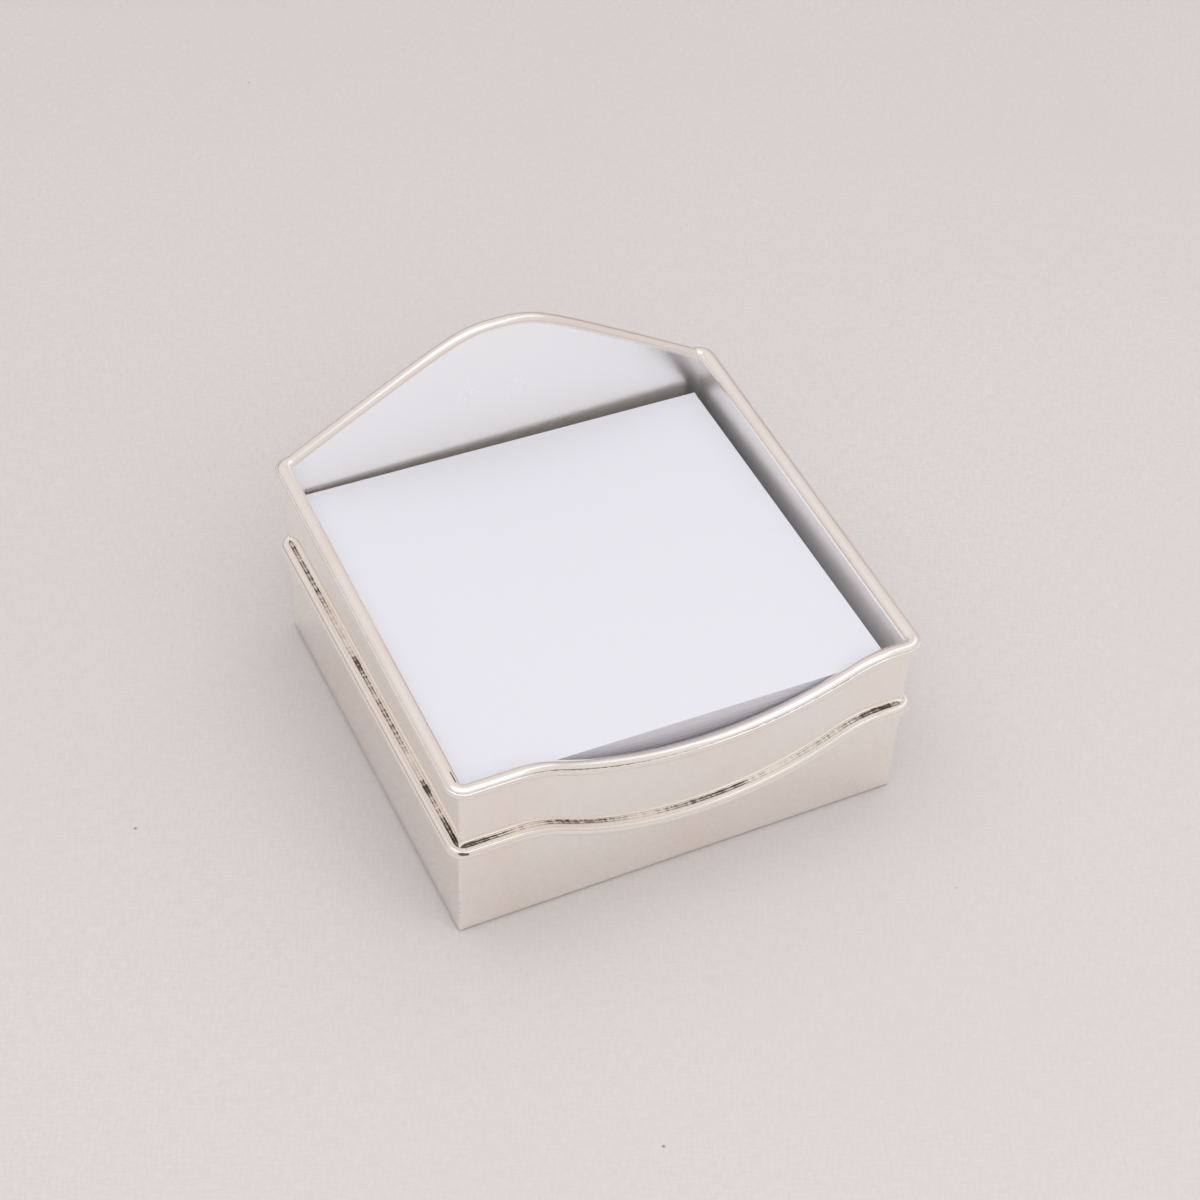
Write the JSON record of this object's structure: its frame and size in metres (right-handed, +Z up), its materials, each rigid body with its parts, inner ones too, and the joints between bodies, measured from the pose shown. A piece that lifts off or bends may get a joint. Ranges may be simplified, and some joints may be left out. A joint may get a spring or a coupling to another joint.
{
  "type": "note block holder",
  "caption": "Open silver desk tray for a block of note paper, with a dipped front, a bell-arched back and a round wire at the rim and round the sides.",
  "frame": {"origin": "middle of the underside, on the surface that the tray stands on", "axes": "+X to the right side, -Y to the front with the dip, +Y to the back with the arch, +Z up"},
  "size_m": [0.1036, 0.0994, 0.0713],
  "materials": {
    "silver_wall": "hand-polished silver sheet",
    "silver_floor": "duller silver sheet",
    "silver_wire": "bright polished silver wire",
    "baize": "short-napped wool baize",
    "card": "grey board",
    "paper": "cut edges of smooth white note paper",
    "top_paper": "smooth cool white note paper",
    "gum": "white padding gum"
  },
  "bodies": {
    "tray": {"front_panel": "silver_wall", "back_panel": "silver_wall", "left_panel": "silver_wall", "right_panel": "silver_wall", "base_plate": "silver_floor", "rim_wire_front": "silver_wire", "rim_wire_back": "silver_wire", "rim_wire_left": "silver_wire", "rim_wire_right": "silver_wire", "girdle_wire_front": "silver_wire", "girdle_wire_back": "silver_wire", "girdle_wire_left": "silver_wire", "girdle_wire_right": "silver_wire", "baize_pad": "baize"},
    "note_pad": {"backing_card": "card", "note_block": "paper", "gum_strip": "gum"},
    "loose_sheet": {"top_sheet": "top_paper"}
  },
  "joints": [
    {"name": "pad_lift", "type": "slide", "parent": "tray", "child": "note_pad", "axis": [0, 0, 1], "range_m": [0, 0.075]},
    {"name": "sheet_turn", "type": "hinge", "parent": "note_pad", "child": "loose_sheet", "pos_m": [0, 0.0448, 0.039], "axis": [-0.9999, 0.0157, 0], "range_deg": [0, 85]}
  ]
}
